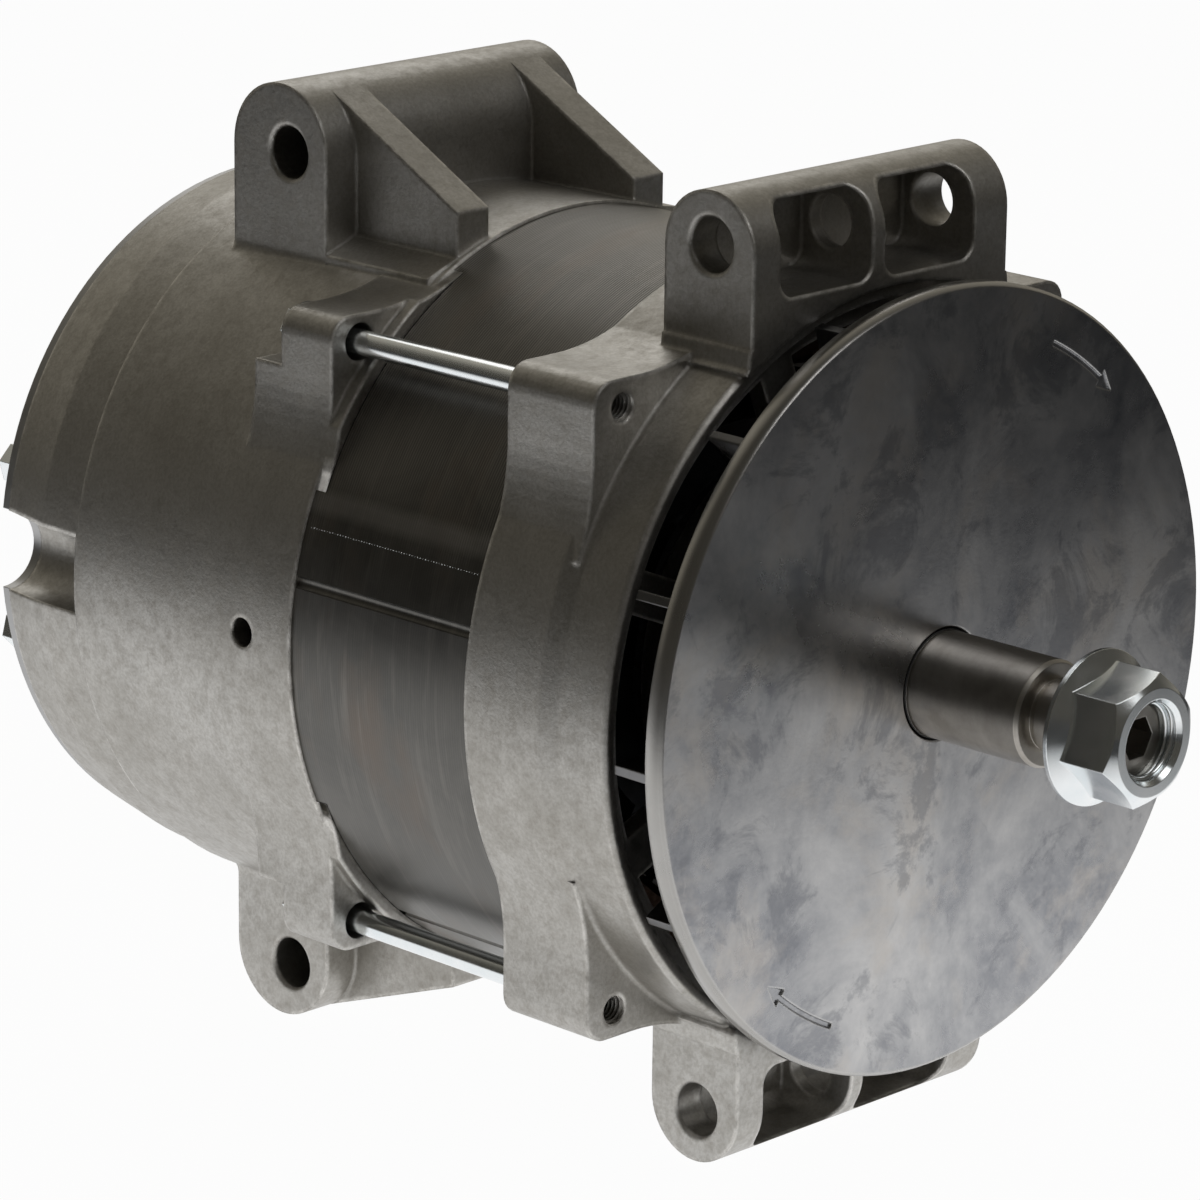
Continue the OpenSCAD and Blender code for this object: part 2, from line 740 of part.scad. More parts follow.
module stator_winding() {
    inner = stator_bore + shoe_t + winding_gap;
    outer = stator_bore + shoe_t + slot_depth - winding_gap;
    width = slot_w - 2 * winding_gap;
    color([0.66, 0.33, 0.16]) {
        for (side = [[core_y - winding_gap - winding_overhang, core_y - winding_gap],
                     [core_end + winding_gap, core_end + winding_gap + winding_overhang]])
            turned() polygon([[inner, side[0] + 2], [inner + 2, side[0]], [outer - 2, side[0]],
                [outer, side[0] + 2], [outer, side[1] - 2], [outer - 2, side[1]], [inner + 2, side[1]],
                [inner, side[1] - 2]]);
        for (i = [0 : slot_count - 1]) rotate([0, i * 360 / slot_count, 0])
            translate([inner + 0.4, core_y - winding_gap - 2, -width / 2])
                cube([outer - inner - 0.8, stator_l + 2 * winding_gap + 4, width]);
    }
}

module through_bolts() {
    grip_end = core_y - bolt_grip;
    color([0.75, 0.78, 0.8]) at_bolts() {
        rod(bolt_d / 2, core_y, seat_y + 1);
        rod(bolt_thread_d / 2, grip_end, core_y + 2);
        rod(bolt_washer_d / 2, seat_y, seat_y + bolt_washer_t);
        translate([0, seat_y + bolt_washer_t, 0]) rotate([-90, 0, 0])
            cylinder(d = bolt_af / cos(30), h = bolt_head_l, $fn = 6);
    }
}

module fan() {
    r = fan_r;
    blade_l = rim_gap - blade_gap;
    blade_root = blade_root_d / 2;
    color([0.45, 0.47, 0.5]) difference() {
        union() {
            turned() polygon([[0, 0], [r - 0.7, 0], [r, 0.7], [r, fan_t - 0.5], [r - 0.5, fan_t],
                [0, fan_t]]);
            rod(fan_hub_d / 2, fan_t - 1, fan_end);
            intersection() {
                for (i = [0 : blade_count - 1]) rotate([0, (i + 0.86) * 360 / blade_count, 0])
                    translate([blade_root, fan_t - 1, -blade_t / 2])
                        cube([blade_tip - blade_root + 1, blade_l + 1, blade_t]);
                rod(blade_tip, fan_t - 2, fan_t + blade_l + 1);
            }
        }
        turned() polygon([[0, -1], [fan_seat + 1.7, -1], [fan_seat + slip, 0.7],
            [fan_seat + slip, fan_end + 1], [0, fan_end + 1]]);
    }
}

module fan_spacer() {
    color([0.6, 0.6, 0.62]) tube(front_hub_bore - 2.4, fan_seat + slip, fan_end, front_brg_y);
}

module shaft() {
    seat = seat_d / 2;
    brg = front_brg_id / 2;
    pole = pole_seat_d / 2;
    rear = rear_brg_id / 2;
    tail = rear - 0.4;
    tip_y = -seat_l - neck_l - thread_l;
    color([0.35, 0.34, 0.33]) difference() {
        turned() polygon([[0, tip_y], [thread_d / 2 - 1, tip_y], [thread_d / 2, tip_y + 1],
            [thread_d / 2, -seat_l - neck_l], [thread_d / 2 - neck_in, -seat_l - neck_l + 0.6],
            [thread_d / 2 - neck_in, -seat_l],
            [seat - 0.6, -seat_l], [seat, -seat_l + 0.8], [seat, 0], [fan_seat, 0], [fan_seat, front_brg_y],
            [brg, front_brg_y],
            [brg, front_brg_end], [pole + 2, front_brg_end], [pole + 2, pole_y], [pole, pole_y],
            [pole, pole_end], [pole - 1, pole_end], [pole - 1, rear_brg_y], [rear, rear_brg_y],
            [rear, rear_brg_end], [tail, rear_brg_end], [tail, hub_end + 1], [0, hub_end + 1]]);
        translate([0, tip_y - 1, 0]) rotate([-90, 0, 0])
            cylinder(d = socket_af / cos(30), h = socket_depth + 1, $fn = 6);
    }
}

// Flange nut, whose threads show in front of the shaft's end
module pulley_nut() {
    back = -seat_l - nut_at;
    front = back - nut_l;
    corner = nut_af / 2 / cos(30);
    flange = nut_flange_d / 2;
    color([0.8, 0.82, 0.84]) difference() {
        union() {
            intersection() {
                translate([0, back - 1, 0]) rotate([90, 0, 0]) rotate([0, 0, nut_turn])
                    cylinder(r = corner, h = nut_l - 1, $fn = 6);
                turned() polygon([[0, front], [nut_af / 2 - 0.9, front], [corner + 0.1, front + 2],
                    [corner + 0.1, back], [0, back]]);
            }
            turned() polygon([[0, back], [flange - 0.5, back], [flange, back - 0.5], [flange, back - 1.4],
                [nut_af / 2 - 0.4, back - 3.8], [0, back - 3.8]]);
        }
        turned() polygon([[0, front - 1], [thread_d / 2 + 1.7, front - 1], [thread_d / 2 + slip, front + 1],
            [thread_d / 2 + slip, back + 1], [0, back + 1]]);
    }
}

// Ball bearing pieces: race centre radius, ball radius and stations decide the grooves
module race(outer, inner, from, to, pitch, ball) {
    difference() {
        tube(outer, inner, from, to);
        translate([0, (from + to) / 2, 0]) turned() translate([pitch, 0]) circle(ball + race_gap, $fn = 64);
    }
}

module balls(pitch, ball, y, count) {
    for (i = [0 : count - 1]) rotate([0, i * 360 / count, 0])
        translate([pitch, y, 0]) sphere(ball, $fn = 48);
}

module cage(pitch, ball, y, count) {
    difference() {
        tube(pitch + ball * 0.35, pitch - ball * 0.35, y - ball - 1, y + ball + 1);
        for (i = [0 : count - 1]) rotate([0, i * 360 / count, 0])
            translate([pitch - ball, y, 0]) rotate([0, 90, 0]) cylinder(r = ball + 0.1, h = 2 * ball);
    }
}

front_pitch = (front_brg_id + front_brg_od) / 4;
rear_pitch = (rear_brg_id + rear_brg_od) / 4;
front_mid = (front_brg_y + front_brg_end) / 2;
rear_mid = (rear_brg_y + rear_brg_end) / 2;

module front_bearing_outer() {
    color([0.7, 0.71, 0.73])
        race(front_brg_od / 2, front_pitch + front_ball_d * 0.42, front_brg_y, front_brg_end, front_pitch,
            front_ball_d / 2);
}

module front_bearing_inner() {
    color([0.7, 0.71, 0.73])
        race(front_pitch - front_ball_d * 0.42, front_brg_id / 2 + slip, front_brg_y, front_brg_end,
            front_pitch, front_ball_d / 2);
}

module front_bearing_balls() {
    color([0.8, 0.8, 0.82]) balls(front_pitch, front_ball_d / 2, front_mid, front_ball_count);
}

module front_bearing_cage() {
    color([0.75, 0.6, 0.3]) cage(front_pitch, front_ball_d / 2, front_mid, front_ball_count);
}

module rear_bearing_outer() {
    color([0.7, 0.71, 0.73])
        race(rear_brg_od / 2, rear_pitch + rear_ball_d * 0.42, rear_brg_y, rear_brg_end, rear_pitch,
            rear_ball_d / 2);
}

module rear_bearing_inner() {
    color([0.7, 0.71, 0.73])
        race(rear_pitch - rear_ball_d * 0.42, rear_brg_id / 2 + slip, rear_brg_y, rear_brg_end, rear_pitch,
            rear_ball_d / 2);
}

module rear_bearing_balls() {
    color([0.8, 0.8, 0.82]) balls(rear_pitch, rear_ball_d / 2, rear_mid, rear_ball_count);
}

module rear_bearing_cage() {
    color([0.75, 0.6, 0.3]) cage(rear_pitch, rear_ball_d / 2, rear_mid, rear_ball_count);
}

module bearing_retainer() {
    color([0.6, 0.6, 0.6]) difference() {
        tube(front_hub_d / 2 - 0.5, front_brg_od / 2 - 3, front_brg_end, retainer_end);
        for (i = [0 : 3]) rotate([0, 45 + 90 * i, 0])
            rod(retainer_screw_d / 2 + 0.3, front_brg_end - 1, retainer_end + 1, retainer_pcd / 2);
    }
}

module retainer_screws() {
    color([0.7, 0.72, 0.74]) for (i = [0 : 3]) rotate([0, 45 + 90 * i, 0]) {
        rod(retainer_screw_d / 2, front_brg_end - 10, retainer_end + 1, retainer_pcd / 2);
        rod(retainer_screw_d * 0.9, retainer_end, retainer_end + 3, retainer_pcd / 2);
    }
}

// One claw, tapered from root to tip along +Y, kept between two radii
module claw() {
    l = pole_stack_l - 4;
    rotate([0, 90, 0]) linear_extrude(rotor_r + 5)
        polygon([[-claw_root_w / 2, 0], [claw_root_w / 2, 0], [claw_tip_w / 2, l], [-claw_tip_w / 2, l]]);
}

module claw_pole() {
    l = pole_stack_l - 4;
    inner = field_coil_r + 2;
    seat = pole_seat_d / 2 + slip;
    difference() {
        union() {
            rod(inner, 0, pole_disk_t);
            intersection() {
                for (i = [0 : claw_count - 1]) rotate([0, i * 360 / claw_count, 0]) claw();
                turned() polygon([[inner - 3, 0], [rotor_r - 1.5, 0], [rotor_r, 1.5], [rotor_r, l - 1],
                    [rotor_r - 1, l], [rotor_r - 4.5, l], [inner, pole_disk_t], [inner - 3, pole_disk_t]]);
            }
        }
        rod(seat, -1, pole_disk_t + 1);
    }
}

module rotor_pole_front() {
    color([0.32, 0.32, 0.34]) translate([0, pole_y, 0]) claw_pole();
}

module rotor_pole_rear() {
    color([0.32, 0.32, 0.34]) translate([0, pole_end, 0]) rotate([0, 180 / claw_count, 0]) mirror([0, 1, 0])
        claw_pole();
}

module rotor_core() {
    color([0.35, 0.35, 0.36]) tube(rotor_core_r, pole_seat_d / 2 + slip, coil_y, coil_end);
}

module coil_bobbin() {
    r = rotor_core_r + slip;
    flange = field_coil_r;
    color([0.15, 0.15, 0.16]) {
        tube(r + 1.2, r, coil_y, coil_end);
        tube(flange, r, coil_y, coil_y + 1.2);
        tube(flange, r, coil_end - 1.2, coil_end);
    }
}

module field_coil() {
    color([0.66, 0.33, 0.16])
        tube(field_coil_r - 1, rotor_core_r + 2 * slip + 1.2, coil_y + 1.2, coil_end - 1.2);
}

module slip_ring_hub() {
    color([0.12, 0.12, 0.12])
        tube(slip_ring_d / 2 - 2.5, rear_brg_id / 2 - 0.4 + slip, rear_brg_end + 0.5, hub_end);
}

module slip_rings() {
    color([0.75, 0.45, 0.2]) for (y = [ring_y, ring_y + slip_ring_w + ring_gap])
        tube(slip_ring_d / 2, slip_ring_d / 2 - 2.5, y, y + slip_ring_w);
}

// Horseshoe plate of the rectifier, open towards the brush holder
module rectifier_plate(from, to) {
    difference() {
        tube(plate_outer, plate_inner, from, to);
        translate([-plate_outer - 1, from - 1, -plate_outer])
            cube([plate_outer + 1 - plate_open, to - from + 2, 2 * plate_outer]);
    }
}

module diode_holes(from, to, shift) {
    for (a = diode_angles) rotate([0, -a - shift, 0]) rod(diode_d / 2, from, to, rectifier_r);
}

module plate_screw_holes(r, from, to) {
    for (a = rectifier_boss_angles) rotate([0, -a, 0]) rod(r, from, to, rectifier_r);
}

module rectifier_plate_negative() {
    color([0.7, 0.7, 0.7]) difference() {
        rectifier_plate(negative_y, negative_end);
        diode_holes(negative_y - 1, negative_end + 1, 0);
        plate_screw_holes(2.8, negative_y - 1, negative_end + 1);
    }
}

module rectifier_plate_positive() {
    color([0.66, 0.66, 0.68]) difference() {
        rectifier_plate(positive_y, positive_end);
        diode_holes(positive_y - 1, positive_end + 1, 0);
        plate_screw_holes(2.8, positive_y - 1, positive_end + 1);
        rod(stud_shank / 2 + slip, positive_y - 1, positive_end + 1, stud_x, stud_z);
    }
}

module diodes_negative() {
    color([0.5, 0.5, 0.48]) diode_holes(negative_end - diode_l + 1, negative_end + 1, 0);
}

module diodes_positive() {
    color([0.5, 0.5, 0.48]) diode_holes(positive_y - 1, positive_y - 1 + diode_l, 0);
}

module rectifier_insulators() {
    color([0.5, 0.3, 0.18]) for (a = rectifier_boss_angles) rotate([0, -a, 0]) difference() {
        rod(5.5, negative_end, positive_y, rectifier_r);
        rod(2.8, negative_end - 1, positive_y + 1, rectifier_r);
    }
}

module rectifier_screws() {
    color([0.7, 0.72, 0.74]) for (a = rectifier_boss_angles) rotate([0, -a, 0]) {
        rod(2.5, rear_wall_end + 3, positive_end + 1, rectifier_r);
        rod(4.6, positive_end, positive_end + 3.4, rectifier_r);
    }
}

// Brush holder on the end of the rear hub, above the slip rings
module brush_holder() {
    color([0.1, 0.1, 0.11]) difference() {
        translate([-holder_w / 2, rear_hub_end, holder_low])
            cube([holder_w, hub_end - rear_hub_end + 2, holder_h]);
        for (y = [ring_y, ring_y + slip_ring_w + ring_gap])
            translate([-brush_w / 2 - slip, y + 0.5 - slip, holder_low - 1])
                cube([brush_w + 2 * slip, slip_ring_w - 1 + 2 * slip, brush_l + 3]);
    }
}

module brushes() {
    color([0.18, 0.16, 0.15]) for (y = [ring_y, ring_y + slip_ring_w + ring_gap]) difference() {
        translate([-brush_w / 2, y + 0.5, slip_ring_d / 2 - 1]) cube([brush_w, slip_ring_w - 1, brush_l]);
        rod(slip_ring_d / 2 + brush_gap, y - 1, y + slip_ring_w + 1);
    }
}

module voltage_regulator() {
    color([0.12, 0.12, 0.13]) translate([-regulator_w / 2, hub_end + 2, holder_low])
        cube([regulator_w, regulator_t, regulator_h]);
}

module capacitor() {
    color([0.7, 0.7, 0.68]) rotate([0, 157.5, 0])
        rod(capacitor_d / 2, rear_wall_end, rear_wall_end + capacitor_l, rectifier_r);
}

module rear_cover() {
    color([0.6, 0.6, 0.6]) difference() {
        union() {
            rod(cover_r, rear_y, cover_end);
            turned() polygon([[0, cover_end], [24, cover_end], [20, cover_end + 5], [0, cover_end + 5]]);
        }
        turned() polygon([[0, rear_y - 1], [22, rear_y - 1], [18, cover_end + 2.5], [0, cover_end + 2.5]]);
        for (i = [0 : 11]) rotate([0, 15 + i * 30, 0])
            if (i != 9 && i != 10) translate([vent_in, rear_y - 1, -vent_w / 2])
                cube([cover_screw_r - vent_out - vent_in, cover_t + 2, vent_w]);
        for (a = cover_screw_angles) rotate([0, -a, 0])
            rod(cover_screw_d / 2 + 0.3, rear_y - 1, cover_end + 1, cover_screw_r);
        rod(groove_r, rear_y - 1, cover_end + 1, -groove_x, groove_z);
        rod(9, rear_y - 1, cover_end + 1, stud_x, stud_z);
        rod(ground_d / 2 + slip, rear_y - 1, cover_end + 1, ground_x, ground_z);
    }
}

module cover_screws() {
    color([0.7, 0.72, 0.74]) for (a = cover_screw_angles) rotate([0, -a, 0]) {
        rod(cover_screw_d / 2, rear_y - 11, cover_end + 1, cover_screw_r);
        translate([cover_screw_r, cover_end, 0]) rotate([-90, 0, 0])
            cylinder(d = 8 / cos(30), h = 3.6, $fn = 6);
    }
}

module output_stud() {
    color([0.75, 0.62, 0.35]) {
        rod(stud_d / 2, cover_end + 5, cover_end + 6 + stud_out, stud_x, stud_z);
        rod(stud_shank / 2, positive_y - 2, cover_end + 6, stud_x, stud_z);
        rod(stud_shank / 2 + 3, positive_end, positive_end + 5, stud_x, stud_z);
    }
}

module output_insulator() {
    color([0.1, 0.1, 0.1]) difference() {
        union() {
            rod(9 - slip, rear_y - 2, cover_end + 1, stud_x, stud_z);
            rod(13, cover_end, cover_end + 6, stud_x, stud_z);
        }
        rod(stud_shank / 2 + slip, rear_y - 3, cover_end + 7, stud_x, stud_z);
    }
}

module output_nut() {
    color([0.8, 0.68, 0.38]) difference() {
        translate([stud_x, cover_end + 6, stud_z]) rotate([-90, 0, 0])
            cylinder(d = 13 / cos(30), h = 6.5, $fn = 6);
        rod(stud_d / 2 + slip, cover_end + 5, cover_end + 14, stud_x, stud_z);
    }
}

module ground_stud() {
    color([0.75, 0.76, 0.78]) {
        rod(ground_d / 2, rear_y - 6, cover_end + 18, ground_x, ground_z);
        rod(ground_d / 2 + 3, rear_y - 4, rear_y, ground_x, ground_z);
    }
}

module ground_nut() {
    color([0.75, 0.76, 0.78]) difference() {
        translate([ground_x, cover_end, ground_z]) rotate([-90, 0, 0])
            cylinder(d = 10 / cos(30), h = 5, $fn = 6);
        rod(ground_d / 2 + slip, cover_end - 1, cover_end + 6, ground_x, ground_z);
    }
}

front_housing();
rear_housing();
stator_core();
stator_winding();
through_bolts();
fan();
fan_spacer();
shaft();
pulley_nut();
front_bearing_outer();
front_bearing_inner();
front_bearing_balls();
front_bearing_cage();
bearing_retainer();
retainer_screws();
rear_bearing_outer();
rear_bearing_inner();
rear_bearing_balls();
rear_bearing_cage();
rotor_pole_front();
rotor_pole_rear();
rotor_core();
coil_bobbin();
field_coil();
slip_ring_hub();
slip_rings();
rectifier_plate_negative();
rectifier_plate_positive();
rectifier_insulators();
rectifier_screws();
diodes_negative();
diodes_positive();
brush_holder();
brushes();
voltage_regulator();
capacitor();
rear_cover();
cover_screws();
output_stud();
output_insulator();
output_nut();
ground_stud();
ground_nut();
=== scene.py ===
"""Looks of a heavy-duty engine alternator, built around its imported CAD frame."""
import json
import math

import bmesh
import bpy
from mathutils import Matrix, Vector


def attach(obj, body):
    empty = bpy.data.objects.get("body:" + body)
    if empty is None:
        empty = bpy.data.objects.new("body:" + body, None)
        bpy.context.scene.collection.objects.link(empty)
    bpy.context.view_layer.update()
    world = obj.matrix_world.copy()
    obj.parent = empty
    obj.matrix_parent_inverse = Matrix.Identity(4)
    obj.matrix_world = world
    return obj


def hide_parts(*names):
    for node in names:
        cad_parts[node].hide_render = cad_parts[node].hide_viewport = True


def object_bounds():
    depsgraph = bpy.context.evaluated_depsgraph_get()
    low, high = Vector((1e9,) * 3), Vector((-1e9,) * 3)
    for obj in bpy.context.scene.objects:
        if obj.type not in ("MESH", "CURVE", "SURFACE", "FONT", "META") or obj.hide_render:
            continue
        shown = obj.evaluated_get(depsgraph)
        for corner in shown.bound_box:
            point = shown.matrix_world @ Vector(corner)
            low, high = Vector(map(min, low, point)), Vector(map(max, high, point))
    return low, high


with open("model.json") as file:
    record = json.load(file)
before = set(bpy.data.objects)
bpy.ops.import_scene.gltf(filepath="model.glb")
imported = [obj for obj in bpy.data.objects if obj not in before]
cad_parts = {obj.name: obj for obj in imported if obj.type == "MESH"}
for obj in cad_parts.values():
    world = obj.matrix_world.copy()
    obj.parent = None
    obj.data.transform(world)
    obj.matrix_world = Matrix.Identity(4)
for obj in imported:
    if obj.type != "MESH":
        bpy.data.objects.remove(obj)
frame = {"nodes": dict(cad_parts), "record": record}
CAD_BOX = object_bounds()
NODES = frame["nodes"]
MM = 0.001


# Camera, fitted to the photograph

CAM_PLACE = Vector((-0.81921, -0.70647, 0.32532))
CAM_RIGHT = Vector((0.702586, -0.711495, 0.01218))
CAM_DOWN = Vector((-0.187421, -0.201532, -0.961384))
CAM_AHEAD = Vector((0.686474, 0.673172, -0.274942))
FOCAL_PIXELS = 5598.9
PHOTO_PIXELS = 1200
SENSOR_WIDTH = 36

cam_data = bpy.data.cameras.new("camera")
cam_data.sensor_fit = "HORIZONTAL"
cam_data.sensor_width = SENSOR_WIDTH
cam_data.lens = FOCAL_PIXELS / PHOTO_PIXELS * SENSOR_WIDTH
cam_data.clip_end = 20
cam = bpy.data.objects.new("camera", cam_data)
bpy.context.scene.collection.objects.link(cam)
cam_axes = Matrix((CAM_RIGHT, -CAM_DOWN, -CAM_AHEAD)).transposed().to_4x4()
cam.matrix_world = Matrix.Translation(CAM_PLACE) @ cam_axes
bpy.context.scene.camera = cam
bpy.context.scene.view_settings.view_transform = "Standard"


# Node helpers

class Graph:
    """A small writer of shader nodes for one material."""

    def __init__(self, name):
        self.mat = bpy.data.materials.new(name)
        self.mat.use_nodes = True
        self.tree = self.mat.node_tree
        self.tree.nodes.clear()
        self.out = self.tree.nodes.new("ShaderNodeOutputMaterial")

    def node(self, kind, **settings):
        n = self.tree.nodes.new(kind)
        for key, value in settings.items():
            setattr(n, key, value)
        return n

    def link(self, a, b):
        self.tree.links.new(a, b)

    def put(self, socket, value):
        if isinstance(value, bpy.types.NodeSocket):
            self.link(value, socket)
        else:
            socket.default_value = value

    def coords(self):
        return self.node("ShaderNodeTexCoord").outputs["Object"]

    def axes(self, vector):
        n = self.node("ShaderNodeSeparateXYZ")
        self.put(n.inputs[0], vector)
        return n.outputs

    def scaled(self, vector, scale):
        n = self.node("ShaderNodeMapping")
        self.put(n.inputs["Vector"], vector)
        n.inputs["Scale"].default_value = scale
        return n.outputs["Vector"]

    def noise(self, vector, scale, detail=4.0, rough=0.55, distort=0.0):
        n = self.node("ShaderNodeTexNoise")
        self.put(n.inputs["Vector"], vector)
        n.inputs["Scale"].default_value = scale
        n.inputs["Detail"].default_value = detail
        n.inputs["Roughness"].default_value = rough
        n.inputs["Distortion"].default_value = distort
        return n.outputs["Fac"]

    def math(self, op, *values, clamp=False):
        n = self.node("ShaderNodeMath", operation=op, use_clamp=clamp)
        for socket, value in zip(n.inputs, values):
            self.put(socket, value)
        return n.outputs[0]

    def plus(self, a, b):
        return self.math("ADD", a, b)

    def times(self, a, b):
        return self.math("MULTIPLY", a, b)

    def ramp(self, value, low, high, to_low=0.0, to_high=1.0):
        n = self.node("ShaderNodeMapRange", clamp=True)
        self.put(n.inputs["Value"], value)
        n.inputs["From Min"].default_value = low
        n.inputs["From Max"].default_value = high
        n.inputs["To Min"].default_value = to_low
        n.inputs["To Max"].default_value = to_high
        return n.outputs["Result"]

    def mix(self, fac, a, b):
        n = self.node("ShaderNodeMix", data_type="RGBA")
        self.put(n.inputs["Factor"], fac)
        self.put(n.inputs[6], a)
        self.put(n.inputs[7], b)
        return n.outputs[2]

    def layer(self, base, mask, share, colour):
        """Lays a colour over the base where the mask says, up to a share of it."""
        return self.mix(self.times(mask, share), base, colour)

    def rounded(self, radius):
        """The normal of a surface whose edges are rounded."""
        n = self.node("ShaderNodeBevel", samples=6)
        n.inputs["Radius"].default_value = radius
        return n.outputs[0]

    def edges(self, rounded):
        """Mask of convex and concave edges, from the rounded normal."""
        geo = self.node("ShaderNodeNewGeometry")
        dot = self.node("ShaderNodeVectorMath", operation="DOT_PRODUCT")
        self.link(rounded, dot.inputs[0])
        self.link(geo.outputs["Normal"], dot.inputs[1])
        return self.ramp(dot.outputs["Value"], 0.985, 0.8)

    def corners(self, reach):
        """Mask of convex edges alone."""
        inside = self.node("ShaderNodeAmbientOcclusion", samples=6, inside=True, only_local=True)
        inside.inputs["Distance"].default_value = reach
        return self.ramp(inside.outputs["AO"], 0.97, 0.75)

    def recess(self, reach):
        """Mask of places that are closed in, such as pockets and bores."""
        around = self.node("ShaderNodeAmbientOcclusion", samples=6, only_local=True)
        around.inputs["Distance"].default_value = reach
        return self.ramp(around.outputs["AO"], 0.6, 0.2)

    def bump(self, height, strength, distance, normal=None):
        n = self.node("ShaderNodeBump")
        n.inputs["Strength"].default_value = strength
        n.inputs["Distance"].default_value = distance
        self.put(n.inputs["Height"], height)
        if normal is not None:
            self.link(normal, n.inputs["Normal"])
        return n.outputs[0]

    def surface(self, colour, rough, metal, normal):
        n = self.node("ShaderNodeBsdfPrincipled")
        self.put(n.inputs["Base Color"], colour)
        self.put(n.inputs["Roughness"], rough)
        n.inputs["Metallic"].default_value = metal
        self.link(normal, n.inputs["Normal"])
        self.link(n.outputs[0], self.out.inputs["Surface"])
        return self.mat


def rgb(r, g, b):
    return (r, g, b, 1.0)


# Materials

# Laminations: pitch of the sheets, heights over which the sheet lines turn lighter towards the top, and a
# painted highlight band at the left
SHEET_PITCH = 0.66 * MM
SHEET_LINES_FROM, SHEET_LINES_TO = 24 * MM, 46 * MM
HIGHLIGHT_BAND_LEFT = -60 * MM
HIGHLIGHT_BAND_LOW, HIGHLIGHT_BAND_HIGH, HIGHLIGHT_BAND_FADE = 28.5 * MM, 34.5 * MM, 2 * MM
# Fan: radius where the turned rim begins, and depth where the dark blades begin
RIM_BAND_R = 80.6 * MM
FAN_BACK = 4.7 * MM


def cast_aluminium():
    """As-cast alloy: satin warm grey, sandy grain, dull blotches, painted shade in recesses, and light
    edges that are partly wear, partly painted highlight.
    """
    g = Graph("cast_aluminium")
    v = g.coords()
    broad = g.noise(v, 22, 3)
    cloud = g.noise(v, 90, 5, 0.62)
    mottle = g.noise(v, 330, 4, 0.7)
    grain = g.noise(v, 1300, 3, 0.65)
    sand = g.noise(v, 620, 4, 0.65)
    base = g.mix(g.ramp(broad, 0.35, 0.65), rgb(0.43, 0.415, 0.385), rgb(0.53, 0.52, 0.497))
    base = g.layer(base, g.ramp(cloud, 0.42, 0.66), 0.45, rgb(0.59, 0.575, 0.545))
    base = g.layer(base, g.ramp(mottle, 0.45, 0.68), 0.4, rgb(0.36, 0.335, 0.295))
    base = g.layer(base, g.ramp(grain, 0.42, 0.62), 0.3, rgb(0.27, 0.25, 0.22))
    # Light broken lines on convex edges: partly wear, partly painted highlight
    broken = g.ramp(g.noise(v, 210, 5, 0.75), 0.4, 0.6)
    base = g.layer(base, g.times(g.corners(0.9 * MM), broken), 0.7, rgb(0.88, 0.86, 0.82))
    # Painted shade: darker in pockets, bores and other closed-in places
    base = g.layer(base, g.recess(14 * MM), 0.45, rgb(0.15, 0.138, 0.12))
    height = g.plus(g.times(grain, 0.7), sand)
    normal = g.bump(height, 0.42, 0.12 * MM, g.rounded(1.4 * MM))
    return g.surface(base, g.ramp(mottle, 0.3, 0.7, 0.37, 0.5), 0.95, normal)


def laminations():
    """Varnished steel sheets seen edge on: fine lines near the top, smears and brown patches below."""
    g = Graph("laminations")
    v = g.coords()
    x, y, z = g.axes(v)
    lines = g.math("SINE", g.times(y, 2 * math.pi / SHEET_PITCH))
    uneven = g.noise(g.scaled(v, (60, 1600, 60)), 1.0, 3, 0.6)
    smear = g.noise(g.scaled(v, (36, 420, 36)), 1.0, 5, 0.65)
    patches = g.noise(v, 40, 5, 0.65, 0.5)
    base = g.mix(g.ramp(patches, 0.35, 0.7), rgb(0.115, 0.113, 0.107), rgb(0.165, 0.16, 0.15))
    brown = g.noise(g.scaled(v, (24, 40, 24)), 1.0, 4, 0.6)
    base = g.layer(base, g.ramp(brown, 0.52, 0.68), 0.5, rgb(0.17, 0.135, 0.11))
    base = g.layer(base, g.ramp(smear, 0.52, 0.72), 0.35, rgb(0.27, 0.255, 0.235))
    ragged = g.times(g.math("SUBTRACT", patches, 0.5), 0.05)
    # Sheet lines grow lighter towards the top
    lines_upward = g.ramp(g.plus(z, ragged), SHEET_LINES_FROM, SHEET_LINES_TO, 0.12, 1.0)
    sheet = g.ramp(g.plus(lines, g.times(uneven, 0.9)), 0.3, 1.4)
    base = g.layer(base, g.times(sheet, lines_upward), 0.6, rgb(0.3, 0.282, 0.255))
    # Painted highlight: a lighter band along the core's left side
    left = g.ramp(x, HIGHLIGHT_BAND_LEFT, HIGHLIGHT_BAND_LEFT - HIGHLIGHT_BAND_FADE)
    highlight_band = g.times(g.ramp(z, HIGHLIGHT_BAND_LOW, HIGHLIGHT_BAND_LOW + HIGHLIGHT_BAND_FADE), g.ramp(z, HIGHLIGHT_BAND_HIGH, HIGHLIGHT_BAND_HIGH - HIGHLIGHT_BAND_FADE))
    base = g.layer(base, g.times(highlight_band, left), 0.45, rgb(0.38, 0.37, 0.36))
    height = g.plus(g.times(g.times(lines, lines_upward), 0.6), g.times(uneven, 0.7))
    normal = g.bump(height, 0.4, 0.12 * MM)
    return g.surface(base, g.ramp(patches, 0.3, 0.7, 0.3, 0.42), 0.95, normal)


